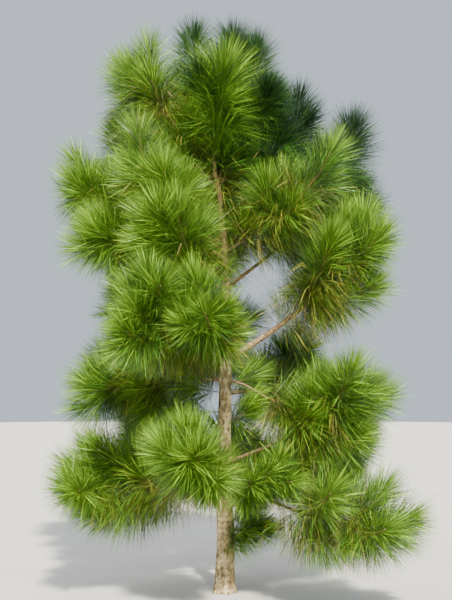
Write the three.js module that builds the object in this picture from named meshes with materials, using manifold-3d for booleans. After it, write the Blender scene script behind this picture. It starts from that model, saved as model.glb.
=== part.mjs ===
// A young long-needled pine, whole, from the flat cut at ground level to its top tufts.
// Millimetres, +Z up, origin at the middle of the cut under the trunk.
// Azimuths are in degrees about +Z: 0 is the viewer's right, 90 away from the viewer, 270 towards them.
// One trunk carries boughs in loose whorls. Each bough is one tapering limb that ends where its foliage
// starts, and each mass of foliage is a stem with side shoots, set all round with sprays of needles.
import * as THREE from 'three';
import { mergeVertices } from 'three/addons/utils/BufferGeometryUtils.js';
import Module from 'manifold-3d';

const wasm = await Module();
wasm.setup();

const SEED = 20260;
const GAP = 0.3;

// Trunk
const TRUNK_TOP = 3400;
const TAPER_HEIGHT = 4200;
const TRUNK_RADIUS = 73;
const TAPER_POWER = 1.08;
const FLARE = 15;
const FLARE_HEIGHT = 70;
const ROOT_LOBES = 5;
const ROOT_LOBE_DEPTH = 0.13;
const TRUNK_SIDES = 15;
const TRUNK_RINGS = 20;
const RINGS_TO_FOOT = 1.35;
const SWAY = [
  [0, 0, 0], [370, 10, 4], [700, -2, 6], [1050, -4, 0], [1400, 4, -8], [1800, 12, -10], [2150, 10, -4],
  [2520, -4, 6], [2900, -34, 12], [3150, -78, 14], [3290, -87, 12], [3450, -66, 8],
];

// Limbs
const LIMB_SIDES = 6;
const LIMB_STEP = 190;
const LIMB_END_SHARE = 0.62;
const COLLAR = 0.35;
const COLLAR_LENGTH = 45;
const AXIS_STEPS = 24;

// Shoots
const SHOOT_RADIUS = 8.5;
const SUNK_ROOT_SHARE = 0.6;
const TIP_RADIUS = 4.5;
const FIRST_WHORL = 0.12;
const WHORL_STEP = 0.4;
const WHORL_TURN = 67;
const ROLL_JITTER = 10;
const SIDE_LONG = 480;
const SIDE_LONG_SPREAD = 0.12;
const SIDE_SHORTEN = 0.4;
const BRANCH_ANGLE = 36;
const BRANCH_JITTER = 5;
const SIDE_LIFT = 68;
const SIDE_BEND = 0.55;
const TWIG_CLEAR = 60;
const LINE_POINTS = 8;

// Sprays of needles
const NEEDLE = 290;
const LEADER_NEEDLE = 365;
const NEEDLE_SPREAD = 0.08;
const NEEDLE_AT_TIP = 0.8;
const END_SPRAY = 0.7;
const BAND = 104;
const BARE_BAND = 260;
const OLD_AFTER = 450;
const FORWARD_AT_TIP = 28;
const FORWARD_AT_BASE = 62;
const FORWARD_JITTER = 3.5;
const DROOP_AT_TIP = 0.04;
const DROOP_AT_BASE = 0.30;
const ROUND_JITTER = 10;
const SHORTER = [1, 0.78, 0.58, 0.42];
const SPACE_SAMPLES = 6;
const SPACE_AT_TIP = 5;
const SPACE_AT_ROOT = 34;
const SPACE_BETWEEN_MASSES = 16;
const GROUND_CLEAR = 25;

const BARK = { color: 0x8a7460, roughness: 0.95, metalness: 0 };
const BOUGH_BARK = { color: 0x9a7350, roughness: 0.92, metalness: 0 };
const SUNLIT = { color: 0x6f9a1c, roughness: 0.6, metalness: 0 };
const MIDGREEN = { color: 0x4c7d1a, roughness: 0.6, metalness: 0 };
const SHADED = { color: 0x2b5a22, roughness: 0.65, metalness: 0 };

// Every bough, from the lowest up: its name, its height on the trunk's axis, its azimuth there and how far
// that turns over its length. Then its elevation at the trunk, how far it sags between, and its elevation
// at the tip, its length to the tip, the share of it that is bare, and its radius at the trunk.
// Last come the whorls of side shoots in its mass, the shoots in each, the roll of the first, and its look.
const BOUGH_FIELDS = [
  'name', 'z', 'az', 'turn', 'rise', 'dip', 'lift', 'long', 'bare', 'radius',
  'whorls', 'each', 'roll', 'look',
];
const LIMBED = [
  ['low_left', 800, 186, 2, -8, 4, 38, 1120, 0.38, 15, 2, 2, 80, SUNLIT],
  ['low_front_left', 850, 258, 6, 4, 6, 38, 1060, 0.38, 16, 2, 1, 115, SUNLIT],
  ['low_front_right', 830, 306, -6, 0, 2, 10, 800, 0.34, 11, 1, 2, 200, MIDGREEN],
  ['low_right', 760, 314, 28, -4, 14, 18, 1430, 0.4, 16, 2, 3, 20, SUNLIT],
  ['low_back_right', 820, 20, 6, 2, 4, 42, 1160, 0.38, 15, 2, 2, 75, MIDGREEN],
  ['low_back', 780, 80, 8, 0, 4, 44, 1140, 0.38, 15, 2, 2, 10, MIDGREEN],
  ['low_back_left', 830, 136, -6, 2, 5, 46, 1140, 0.38, 15, 2, 2, 40, MIDGREEN],
  ['lower_right', 920, 330, 6, 21, 2, 42, 1230, 0.44, 16, 2, 2, 90, SUNLIT],
  ['shaded_left', 1540, 168, 4, 0, 4, 6, 1060, 0.26, 14, 2, 2, 75, MIDGREEN],
  ['thin_right', 1530, 344, -6, 2, 40, 40, 640, 0.56, 8, 1, 2, 30, SUNLIT],
  ['big_right', 1680, 350, 4, 30, -2, 70, 1480, 0.42, 26, 2, 3, 30, SUNLIT],
  ['mid_front_left', 1690, 236, 2, 14, 4, 24, 1110, 0.38, 17, 2, 2, 20, MIDGREEN],
  ['mid_front', 1780, 262, 0, 10, 8, 26, 960, 0.38, 14, 2, 1, 110, MIDGREEN],
  ['mid_back_right', 1440, 52, 6, 2, 4, 44, 1200, 0.38, 16, 2, 2, 10, MIDGREEN],
  ['mid_back_left', 1750, 142, -6, 18, 2, 60, 1230, 0.38, 16, 2, 2, 10, MIDGREEN],
  ['far_right', 2220, 24, -4, 36, 0, 78, 1770, 0.48, 15, 1, 2, 100, SHADED],
  ['upper_left', 2200, 190, 4, 26, -4, 10, 1060, 0.34, 15, 2, 2, 80, SUNLIT],
  ['far_left', 2330, 176, 2, 22, -4, 60, 1440, 0.38, 17, 2, 2, 80, SUNLIT],
  ['upper_front_left', 2100, 240, 2, 24, 0, 76, 950, 0.32, 13, 2, 1, 130, SUNLIT],
  ['upper_right', 2500, 330, 2, 22, -2, 62, 1100, 0.22, 13, 1, 1, 80, MIDGREEN],
  ['upper_left_front', 2440, 218, 0, 26, -4, 80, 1160, 0.36, 14, 1, 2, 0, SUNLIT],
  ['upper_left_back', 2560, 152, 0, 28, -4, 70, 1420, 0.4, 14, 1, 2, 90, MIDGREEN],
  ['top_right', 2760, 18, 8, 38, -4, 84, 1200, 0.34, 11, 1, 2, 100, SHADED],
  ['top_left', 2960, 186, 0, 49, -2, 88, 1215, 0.28, 10, 2, 1, 160, SUNLIT],
  ['top_left_outer', 2800, 164, 0, 40, -4, 78, 1455, 0.38, 11, 1, 1, 150, SUNLIT],
];
// Slighter boughs that are all one mass, whose stem meets the trunk.
const STEMMED = [
  ['low_stub_right', 440, 338, 6, 6, 0, 10, 250, 0.24, 8, 0, 0, 0, MIDGREEN],
  ['mid_back', 1600, 98, 4, 16, 2, 58, 1080, 0.36, 13, 1, 3, 30, MIDGREEN],
  ['upper_back', 2280, 96, 4, 32, 0, 72, 1180, 0.36, 12, 1, 3, 20, MIDGREEN],
  ['upper_back_left', 2640, 124, 4, 42, 0, 76, 1220, 0.38, 11, 1, 3, 20, MIDGREEN],
  ['upper_back_right', 2620, 60, 4, 42, 0, 76, 1220, 0.38, 11, 1, 3, 20, MIDGREEN],
  ['top_back_left', 3020, 122, 0, 66, 0, 90, 1310, 0.24, 9, 1, 2, 90, SHADED],
  ['top_back', 3000, 72, 0, 65, 0, 90, 1360, 0.24, 9, 1, 2, 0, SHADED],
  ['top_back_right', 2980, 40, 4, 62, 0, 90, 1250, 0.24, 9, 1, 2, 0, SHADED],
];
const LEADER = ['leader', TRUNK_TOP, 10, 0, 80, 0, 90, 500, 0, 13.5, 0, 0, 0, SUNLIT];

const rad = THREE.MathUtils.degToRad;
const deg = THREE.MathUtils.radToDeg;
const mix = THREE.MathUtils.lerp;

// A small seeded generator, so that the tree grows the same way every time.
function seeded(seed) {
  let state = seed >>> 0;
  return () => {
    state = (state + 0x6d2b79f5) >>> 0;
    let t = state;
    t = Math.imul(t ^ (t >>> 15), t | 1);
    t ^= t + Math.imul(t ^ (t >>> 7), t | 61);
    return ((t ^ (t >>> 14)) >>> 0) / 4294967296;
  };
}

const eitherSide = (random) => 2 * random() - 1;

// The trunk's axis and radius at a height.
function trunkAxis(z) {
  const above = SWAY.findIndex(([height]) => height > z);
  const [low, high] = [SWAY[above - 1], SWAY[above]];
  const share = THREE.MathUtils.smoothstep(z, low[0], high[0]);
  return new THREE.Vector3(mix(low[1], high[1], share), mix(low[2], high[2], share), z);
}

function trunkRadius(z, angle = 0) {
  const stem = TRUNK_RADIUS * (1 - z / TAPER_HEIGHT) ** TAPER_POWER;
  const foot = Math.exp(-z / FLARE_HEIGHT);
  return (stem + FLARE * foot) * (1 + ROOT_LOBE_DEPTH * foot * Math.cos(ROOT_LOBES * angle));
}

// A unit vector at an angle between two others that are square to each other.
function between(u, v, angle) {
  return u.clone().multiplyScalar(Math.cos(angle)).addScaledVector(v, Math.sin(angle));
}

// The axis of a limb or shoot: its azimuth turns evenly, and its elevation goes from rise to lift
// with a dip between.
class GrowthAxis extends THREE.Curve {
  constructor(start, shape) {
    super();
    this.shape = shape;
    this.points = [start];
    for (let i = 0; i < AXIS_STEPS; i++) {
      const step = this.direction((i + 0.5) / AXIS_STEPS).multiplyScalar(shape.long / AXIS_STEPS);
      this.points.push(step.add(this.points[i]));
    }
  }

  azimuth(t) {
    return rad(this.shape.az + this.shape.turn * t);
  }

  direction(t) {
    const { rise, dip, lift } = this.shape;
    const elevation = rad(mix(rise, lift, t * t) - dip * Math.sin(Math.PI * t));
    const a = this.azimuth(t);
    return between(new THREE.Vector3(Math.cos(a), Math.sin(a), 0), new THREE.Vector3(0, 0, 1), elevation);
  }

  getPoint(t) {
    const i = Math.min(AXIS_STEPS - 1, Math.floor(t * AXIS_STEPS));
    return this.points[i].clone().lerp(this.points[i + 1], t * AXIS_STEPS - i);
  }

  // Two unit vectors square to the axis, the first one level.
  sides(t) {
    const a = this.azimuth(t);
    const level = new THREE.Vector3(-Math.sin(a), Math.cos(a), 0);
    return [level, new THREE.Vector3().crossVectors(this.direction(t), level)];
  }

  ring(t, radius, count, roll) {
    const [u, v] = this.sides(t);
    const centre = this.getPoint(t);
    return Array.from({ length: count }, (_, j) => (
      between(u, v, roll + (j * 2 * Math.PI) / count).multiplyScalar(radius).add(centre)
    ));
  }

  polyline(from, to, count) {
    return Array.from({ length: count + 1 }, (_, i) => this.getPoint(mix(from, to, i / count)));
  }
}

// Closed meshes and solids
function geometryOf(triangles) {
  const corners = triangles.flat().flatMap((corner) => corner.toArray());
  const made = new THREE.BufferGeometry();
  made.setAttribute('position', new THREE.Float32BufferAttribute(corners, 3));
  return mergeVertices(made);
}

function solidOf(geometry) {
  return new wasm.Manifold(new wasm.Mesh({
    numProp: 3,
    vertProperties: new Float32Array(geometry.attributes.position.array),
    triVerts: new Uint32Array(geometry.index.array),
  }));
}

function geometryFrom(solid) {
  const mesh = solid.getMesh();
  const made = new THREE.BufferGeometry();
  made.setAttribute('position', new THREE.Float32BufferAttribute(mesh.vertProperties, 3));
  made.setIndex(new THREE.BufferAttribute(mesh.triVerts, 1));
  made.computeVertexNormals();
  return made;
}

// A fan of triangles over a ring, seen from the side where the ring runs anticlockwise.
function fan(ring) {
  return ring.slice(2).map((corner, j) => [ring[0], ring[j + 1], corner]);
}

function loft(rings) {
  const triangles = [...fan([...rings[0]].reverse()), ...fan(rings[rings.length - 1])];
  for (let k = 0; k < rings.length - 1; k++) {
    const [low, high] = [rings[k], rings[k + 1]];
    for (let j = 0; j < low.length; j++) {
      const next = (j + 1) % low.length;
      triangles.push([low[j], low[next], high[next]], [low[j], high[next], high[j]]);
    }
  }
  return geometryOf(triangles);
}

// The trunk, or the space that it needs when it is grown by a gap.
function trunkGeometry(gap = 0) {
  const rings = [];
  for (let k = 0; k <= TRUNK_RINGS; k++) {
    const z = TRUNK_TOP * (k / TRUNK_RINGS) ** RINGS_TO_FOOT;
    const centre = trunkAxis(z);
    centre.z += k === TRUNK_RINGS ? gap : 0;
    rings.push(Array.from({ length: TRUNK_SIDES }, (_, j) => {
      const angle = (j * 2 * Math.PI) / TRUNK_SIDES;
      const radius = trunkRadius(z, angle) + gap;
      return new THREE.Vector3(radius * Math.cos(angle), radius * Math.sin(angle), 0).add(centre);
    }));
  }
  return loft(rings);
}

const trunkSpace = solidOf(trunkGeometry(GAP));

// A bough's limb tapers to where its mass starts, with a collar where it leaves the trunk.
function limbGeometry(bough) {
  const length = bough.long * bough.bare;
  const steps = Math.max(4, Math.round(length / LIMB_STEP));
  const rings = [];
  for (let k = 0; k <= steps; k++) {
    const s = (length * k) / steps;
    const collar = COLLAR * Math.exp(-s / COLLAR_LENGTH);
    const radius = bough.radius * (mix(1, LIMB_END_SHARE, k / steps) + collar);
    rings.push(bough.axis.ring(s / bough.long, radius, LIMB_SIDES, 0));
  }
  return geometryFrom(solidOf(loft(rings)).subtract(trunkSpace));
}

// A shoot, with the line of its needled part, by which distances are measured.
function makeShoot(bough, axis, { from, bareTo, radius }) {
  const line = axis.polyline(bareTo, 1, LINE_POINTS);
  const box = new THREE.Box3().setFromPoints(line);
  return { bough, axis, from, bareTo, radius, long: axis.shape.long, line, box };
}

// The stem of a mass, which carries its bough on to the tip.
function makeStem(bough) {
  const gap = GAP / bough.long;
  return makeShoot(bough.name, bough.axis, {
    from: bough.limbed ? bough.bare + gap : gap,
    bareTo: bough.bare,
    radius: bough.limbed ? bough.radius * LIMB_END_SHARE : bough.radius,
  });
}

// The whorls of side shoots round a mass's stem.
function makeSideShoots(bough, random) {
  const shoots = [];
  for (let whorl = 0; whorl < bough.whorls; whorl++) {
    const share = FIRST_WHORL + WHORL_STEP * whorl;
    const t = mix(bough.bare, 1, share);
    const [u, v] = bough.axis.sides(t);
    for (let i = 0; i < bough.each; i++) {
      const even = bough.roll + WHORL_TURN * whorl + (360 * i) / bough.each;
      const roll = even + ROLL_JITTER * eitherSide(random);
      const branch = rad(BRANCH_ANGLE + BRANCH_JITTER * eitherSide(random));
      const start = between(bough.axis.direction(t), between(u, v, rad(roll)), branch);
      const rise = deg(Math.asin(start.z));
      const long = SIDE_LONG * (1 + SIDE_LONG_SPREAD * eitherSide(random)) * (1 - SIDE_SHORTEN * share);
      const az = deg(Math.atan2(start.y, start.x));
      const lift = mix(rise, SIDE_LIFT, SIDE_BEND);
      const axis = new GrowthAxis(bough.axis.getPoint(t), { az, turn: 0, rise, dip: 0, lift, long });
      shoots.push(makeShoot(bough.name, axis, { from: 0, bareTo: 0, radius: SHOOT_RADIUS }));
    }
  }
  return shoots;
}

const nearest = new THREE.Vector3();
const stretch = new THREE.Line3();

function distanceTo(line, point) {
  let least = Infinity;
  for (let i = 0; i < line.length - 1; i++) {
    stretch.set(line[i], line[i + 1]).closestPointToPoint(point, true, nearest);
    least = Math.min(least, nearest.distanceTo(point));
  }
  return least;
}

const within = ({ line, box }, point, reach) => (
  box.distanceToPoint(point) < reach && distanceTo(line, point) < reach
);

function nearTrunk(point, space) {
  const z = Math.min(TRUNK_TOP, Math.max(0, point.z));
  return trunkAxis(z).distanceTo(point) < trunkRadius(z) + space;
}

// True where a side shoot keeps clear of the trunk, of other boughs' limbs and of their masses' shoots.
function hasRoom(shoot) {
  const near = ({ bough, line, box, radius }, point) => (
    bough !== shoot.bough && within({ line, box }, point, radius + TWIG_CLEAR)
  );
  return !shoot.line.some((point) => (
    nearTrunk(point, TWIG_CLEAR) || [...limbs, ...allShoots].some((other) => near(other, point))
  ));
}

// True where a spray would leave its shoot's own space or come too near a limb, the trunk or the ground.
function outOfSpace(own, root, tip) {
  const shares = Array.from({ length: SPACE_SAMPLES }, (_, k) => (k + 1) / SPACE_SAMPLES);
  return shares.some((share) => {
    const point = root.clone().lerp(tip, share);
    const space = mix(SPACE_AT_ROOT, SPACE_AT_TIP, share);
    const reach = distanceTo(own.line, point) + space;
    return point.z < GROUND_CLEAR
      || nearTrunk(point, space)
      || limbs.some((limb) => within(limb, point, limb.radius + space))
      || allShoots.some((other) => other !== own
        && within(other, point, other.bough === own.bough ? reach : reach + SPACE_BETWEEN_MASSES));
  });
}

// The tip of the spray that stands out of one facet of a shoot.
function sprayTip(shoot, facet, t, random) {
  const { axis, long } = shoot;
  const forwardWay = axis.direction(t);
  const [u, v] = axis.sides(t);
  const root = new THREE.Vector3().add(facet[0]).add(facet[1]).add(facet[2]).divideScalar(3);
  const out = root.clone().sub(axis.getPoint(t));
  const round = Math.atan2(out.dot(v), out.dot(u)) + rad(ROUND_JITTER * eitherSide(random));
  const age = Math.min(1, ((1 - t) * long) / OLD_AFTER);
  const forward = rad(mix(FORWARD_AT_TIP, FORWARD_AT_BASE, age) + FORWARD_JITTER * eitherSide(random));
  const way = between(forwardWay, between(u, v, round), forward);
  way.z -= mix(DROOP_AT_TIP, DROOP_AT_BASE, age);
  const full = shoot.bough === 'leader' ? LEADER_NEEDLE : NEEDLE;
  const needle = full * mix(NEEDLE_AT_TIP, 1, age) * (1 + NEEDLE_SPREAD * eitherSide(random));
  return roomyTip(shoot, root, way.setLength(needle));
}

// The furthest tip that a spray can have in a direction, or nothing where there's no room for it.
function roomyTip(shoot, root, way) {
  return SHORTER.map((share) => root.clone().addScaledVector(way, share))
    .find((tip) => !outOfSpace(shoot, root, tip));
}

// A shoot: a three-sided stem whose facets stand out as sprays of needles, and a last spray at its tip.
function shootGeometry(shoot, random) {
  const { axis, from, bareTo, radius, long } = shoot;
  const bareBands = Math.max(1, Math.round(((bareTo - from) * long) / BARE_BAND));
  const needleBands = Math.round(((1 - Math.max(from, bareTo)) * long) / BAND);
  const start = bareTo > from ? bareTo : mix(from, 1, 0.5 / needleBands);
  const places = [
    ...Array.from({ length: bareBands }, (_, k) => mix(from, start, k / bareBands)),
    ...Array.from({ length: needleBands + 1 }, (_, k) => mix(start, 1, k / needleBands)),
  ];
  const rings = places.map((t, k) => {
    const sunk = t === 0 ? SUNK_ROOT_SHARE : 1;
    return axis.ring(t, sunk * mix(radius, TIP_RADIUS, (t - from) / (1 - from)), 3, (k * Math.PI) / 3);
  });
  const triangles = fan([...rings[0]].reverse());
  const stand = (facet, tip) => {
    const [a, b, c] = facet;
    triangles.push(...(tip ? [[a, b, tip], [b, c, tip], [c, a, tip]] : [facet]));
  };
  for (let k = 0; k < rings.length - 1; k++) {
    const t = mix(places[k], places[k + 1], 0.5);
    for (let j = 0; j < 3; j++) {
      const next = (j + 1) % 3;
      for (const facet of [
        [rings[k][j], rings[k][next], rings[k + 1][j]],
        [rings[k][next], rings[k + 1][next], rings[k + 1][j]],
      ]) {
        stand(facet, k < bareBands ? undefined : sprayTip(shoot, facet, t, random));
      }
    }
  }
  const endSpray = axis.direction(1).multiplyScalar(NEEDLE * END_SPRAY);
  stand(rings[rings.length - 1], roomyTip(shoot, axis.getPoint(1), endSpray));
  return geometryOf(triangles);
}

// One mass: its shoots joined, clear of the trunk, with any scrap that the trunk cuts off dropped.
function massGeometry(shoots, random) {
  const whole = shoots.map((shoot) => solidOf(shootGeometry(shoot, random))).reduce((a, b) => a.add(b));
  const pieces = whole.subtract(trunkSpace).decompose();
  return geometryFrom(pieces.reduce((a, b) => (a.volume() > b.volume() ? a : b)));
}

// The whole tree: every stem takes its place first, and then the side shoots that still have room.
const boughs = [...LIMBED, ...STEMMED, LEADER].map((row, index) => {
  const bough = Object.fromEntries(BOUGH_FIELDS.map((field, k) => [field, row[k]]));
  bough.limbed = index < LIMBED.length;
  bough.axis = new GrowthAxis(trunkAxis(bough.z), bough);
  bough.shoots = [makeStem(bough)];
  return bough;
});
const limbs = boughs.filter(({ bare }) => bare > 0).map((bough) => {
  const line = bough.axis.polyline(0, bough.bare, LINE_POINTS);
  return { bough: bough.name, line, box: new THREE.Box3().setFromPoints(line), radius: bough.radius };
});
const allShoots = boughs.flatMap((bough) => bough.shoots);
boughs.forEach((bough, index) => {
  for (const shoot of makeSideShoots(bough, seeded(SEED + index))) {
    if (hasRoom(shoot)) {
      bough.shoots.push(shoot);
      allShoots.push(shoot);
    }
  }
});

const tree = new THREE.Group();
function add(name, geometry, look) {
  const mesh = new THREE.Mesh(geometry, new THREE.MeshStandardMaterial(look));
  mesh.name = name;
  tree.add(mesh);
}

add('trunk', trunkGeometry(), BARK);
for (const bough of boughs.filter(({ limbed }) => limbed)) {
  add(`bough_${bough.name}`, limbGeometry(bough), BOUGH_BARK);
}
boughs.forEach((bough, index) => {
  const random = seeded(SEED + boughs.length + index);
  add(`foliage_${bough.name}`, massGeometry(bough.shoots, random), bough.look);
});

export default tree;
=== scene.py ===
"""Looks of a young long-needled pine: bark with its relief, twigs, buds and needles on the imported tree.

The limbs and shoots are grown again by the source's rule, in metres and degrees, and carried on to finer
twigs.
"""
import math

import bpy
import numpy as np
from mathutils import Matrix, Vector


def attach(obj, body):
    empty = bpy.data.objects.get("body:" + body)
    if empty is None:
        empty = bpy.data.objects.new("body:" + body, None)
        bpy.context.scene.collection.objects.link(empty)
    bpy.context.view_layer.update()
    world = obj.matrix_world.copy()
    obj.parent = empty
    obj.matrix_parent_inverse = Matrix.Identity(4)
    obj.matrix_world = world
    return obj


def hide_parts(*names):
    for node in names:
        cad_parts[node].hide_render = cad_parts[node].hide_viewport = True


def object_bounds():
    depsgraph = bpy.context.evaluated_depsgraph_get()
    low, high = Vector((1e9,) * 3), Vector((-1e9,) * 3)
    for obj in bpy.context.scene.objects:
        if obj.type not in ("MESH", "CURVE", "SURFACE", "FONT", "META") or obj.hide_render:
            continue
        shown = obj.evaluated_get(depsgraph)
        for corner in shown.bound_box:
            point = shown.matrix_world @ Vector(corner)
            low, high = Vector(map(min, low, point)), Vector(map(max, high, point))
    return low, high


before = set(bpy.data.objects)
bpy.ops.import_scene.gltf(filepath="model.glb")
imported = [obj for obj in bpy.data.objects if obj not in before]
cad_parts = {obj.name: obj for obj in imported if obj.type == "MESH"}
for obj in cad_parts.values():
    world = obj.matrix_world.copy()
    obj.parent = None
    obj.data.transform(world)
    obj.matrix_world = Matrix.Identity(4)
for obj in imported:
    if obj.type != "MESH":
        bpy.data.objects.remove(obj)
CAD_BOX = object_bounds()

# The source's rule of growth
SEED = 20260
GAP = 0.0003
TRUNK_TOP = 3.4
TAPER_HEIGHT = 4.2
TRUNK_RADIUS = 0.073
TAPER_POWER = 1.08
FLARE = 0.015
FLARE_HEIGHT = 0.07
ROOT_LOBES = 5
ROOT_LOBE_DEPTH = 0.13
SWAY = np.array([
    [0, 0, 0], [0.37, 0.01, 0.004], [0.7, -0.002, 0.006], [1.05, -0.004, 0], [1.4, 0.004, -0.008],
    [1.8, 0.012, -0.01], [2.15, 0.01, -0.004], [2.52, -0.004, 0.006], [2.9, -0.034, 0.012],
    [3.15, -0.078, 0.014], [3.29, -0.087, 0.012], [3.45, -0.066, 0.008],
])
LIMB_END_SHARE = 0.62
COLLAR = 0.35
COLLAR_LENGTH = 0.045
AXIS_STEPS = 24
SHOOT_RADIUS = 0.0085
TIP_RADIUS = 0.0045
FIRST_WHORL = 0.12
WHORL_STEP = 0.4
WHORL_TURN = 67
ROLL_JITTER = 10
SIDE_LONG = 0.48
SIDE_LONG_SPREAD = 0.12
SIDE_SHORTEN = 0.4
BRANCH_ANGLE = 36
BRANCH_JITTER = 5
SIDE_LIFT = 68
SIDE_BEND = 0.55
TWIG_CLEAR = 0.06
LINE_POINTS = 8

# Every bough: name, height on the trunk, azimuth, its turn, elevation, dip and lift, length, bare share,
# radius, whorls of side shoots, shoots in each, the roll of the first, and the row of DEALT for its needles,
# which paints the light on them: paler greens as painted sunlight, darker ones as painted shade
BOUGH_FIELDS = (
    "name", "z", "az", "turn", "rise", "dip", "lift",
    "long", "bare", "radius", "whorls", "each", "roll", "look",
)
LIMBED = [
    ("low_left", 0.8, 186, 2, -8, 4, 38, 1.12, 0.38, 0.015, 2, 2, 80, "sunlit"),
    ("low_front_left", 0.85, 258, 6, 4, 6, 38, 1.06, 0.38, 0.016, 2, 1, 115, "sunlit"),
    ("low_front_right", 0.83, 306, -6, 0, 2, 10, 0.8, 0.34, 0.011, 1, 2, 200, "green"),
    ("low_right", 0.76, 314, 28, -4, 14, 18, 1.43, 0.4, 0.016, 2, 3, 20, "sunlit"),
    ("low_back_right", 0.82, 20, 6, 2, 4, 42, 1.16, 0.38, 0.015, 2, 2, 75, "green"),
    ("low_back", 0.78, 80, 8, 0, 4, 44, 1.14, 0.38, 0.015, 2, 2, 10, "green"),
    ("low_back_left", 0.83, 136, -6, 2, 5, 46, 1.14, 0.38, 0.015, 2, 2, 40, "green"),
    ("lower_right", 0.92, 330, 6, 21, 2, 42, 1.23, 0.44, 0.016, 2, 2, 90, "sunlit"),
    ("shaded_left", 1.54, 168, 4, 0, 4, 6, 1.06, 0.26, 0.014, 2, 2, 75, "green"),
    ("thin_right", 1.53, 344, -6, 2, 40, 40, 0.64, 0.56, 0.008, 1, 2, 30, "sunlit"),
    ("big_right", 1.68, 350, 4, 30, -2, 70, 1.48, 0.42, 0.026, 2, 3, 30, "sunlit"),
    ("mid_front_left", 1.69, 236, 2, 14, 4, 24, 1.11, 0.38, 0.017, 2, 2, 20, "green"),
    ("mid_front", 1.78, 262, 0, 10, 8, 26, 0.96, 0.38, 0.014, 2, 1, 110, "green"),
    ("mid_back_right", 1.44, 52, 6, 2, 4, 44, 1.2, 0.38, 0.016, 2, 2, 10, "green"),
    ("mid_back_left", 1.75, 142, -6, 18, 2, 60, 1.23, 0.38, 0.016, 2, 2, 10, "green"),
    ("far_right", 2.22, 24, -4, 36, 0, 78, 1.77, 0.48, 0.015, 1, 2, 100, "shaded"),
    ("upper_left", 2.2, 190, 4, 26, -4, 10, 1.06, 0.34, 0.015, 2, 2, 80, "sunlit"),
    ("far_left", 2.33, 176, 2, 22, -4, 60, 1.44, 0.38, 0.017, 2, 2, 80, "sunlit"),
    ("upper_front_left", 2.1, 240, 2, 24, 0, 76, 0.95, 0.32, 0.013, 2, 1, 130, "sunlit"),
    ("upper_right", 2.5, 330, 2, 22, -2, 62, 1.1, 0.22, 0.013, 1, 1, 80, "green"),
    ("upper_left_front", 2.44, 218, 0, 26, -4, 80, 1.16, 0.36, 0.014, 1, 2, 0, "sunlit"),
    ("upper_left_back", 2.56, 152, 0, 28, -4, 70, 1.42, 0.4, 0.014, 1, 2, 90, "green"),
    ("top_right", 2.76, 18, 8, 38, -4, 84, 1.2, 0.34, 0.011, 1, 2, 100, "shaded"),
    ("top_left", 2.96, 186, 0, 49, -2, 88, 1.215, 0.28, 0.01, 2, 1, 160, "sunlit"),
    ("top_left_outer", 2.8, 164, 0, 40, -4, 78, 1.455, 0.38, 0.011, 1, 1, 150, "sunlit"),
]
STEMMED = [
    ("low_stub_right", 0.44, 338, 6, 6, 0, 10, 0.25, 0.24, 0.008, 0, 0, 0, "green"),
    ("mid_back", 1.6, 98, 4, 16, 2, 58, 1.08, 0.36, 0.013, 1, 3, 30, "green"),
    ("upper_back", 2.28, 96, 4, 32, 0, 72, 1.18, 0.36, 0.012, 1, 3, 20, "green"),
    ("upper_back_left", 2.64, 124, 4, 42, 0, 76, 1.22, 0.38, 0.011, 1, 3, 20, "green"),
    ("upper_back_right", 2.62, 60, 4, 42, 0, 76, 1.22, 0.38, 0.011, 1, 3, 20, "green"),
    ("top_back_left", 3.02, 122, 0, 66, 0, 90, 1.31, 0.24, 0.009, 1, 2, 90, "dim"),
    ("top_back", 3, 72, 0, 65, 0, 90, 1.36, 0.24, 0.009, 1, 2, 0, "dim"),
    ("top_back_right", 2.98, 40, 4, 62, 0, 90, 1.25, 0.24, 0.009, 1, 2, 0, "dim"),
]
LEADER = ("leader", TRUNK_TOP, 10, 0, 80, 0, 90, 0.5, 0, 0.0135, 0, 0, 0, "sunlit")

# Finer twigs, which only the looks carry: where they leave a limb, stem or side shoot, how far they stray
# from there, how long they are, and how they stand
FINE_SHARES = {"limb": (0.66, 0.86), "stem": (0.16, 0.36, 0.58), "side": (0.3, 0.62)}
FINE_JITTER = 0.1
FINE_LONG = 0.19
FINE_LONG_SPREAD = 0.3
FINE_BRANCH = 42
FINE_LIFT = 60
FINE_BEND = 0.45
FINE_RADIUS = 0.0036
FINE_CLEAR = 0.02

# The share of a limb, next to its foliage, that has needles: first of the boughs without finer twigs, and
# then of all the others
BARE_LIMBS = {
    "big_right": 0.26, "thin_right": 0, "low_right": 0.1,
    "lower_right": 0, "low_stub_right": 0, "leader": 0,
}
NEEDLED_LIMB = 0.4

# Sprigs that stand straight out of the trunk or a limb: the mass that they count with, the bough that they
# grow from or none for the trunk, the height or the share of that bough, azimuth, rise, lift and length
SPRIGS = [
    ("big_right", "big_right", 0.4, 40, 35, 60, 0.2),
    ("thin_right", None, 1.36, 346, -8, 20, 0.17),
    ("thin_right", None, 1.24, 318, 8, 30, 0.2),
    ("thin_right", None, 1.5, 20, 10, 30, 0.22),
    ("shaded_left", None, 1.3, 186, 0, 4, 0.3),
    ("shaded_left", None, 1.44, 205, 6, 20, 0.24),
    ("low_front_left", None, 1.1, 215, 12, 40, 0.26),
    ("low_front_right", None, 1.02, 340, 16, 40, 0.24),
    ("low_stub_right", None, 0.5, 8, 14, 30, 0.14),
    ("low_stub_right", None, 0.4, 300, -4, 6, 0.12),
]
SPRIG_BARE = 0.3

# The leader's older needles, down the top of the trunk: from which height, and how dense
OLD_NEEDLES_FROM = 2.66
OLD_NEEDLES_DENSITY = 1.5

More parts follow.
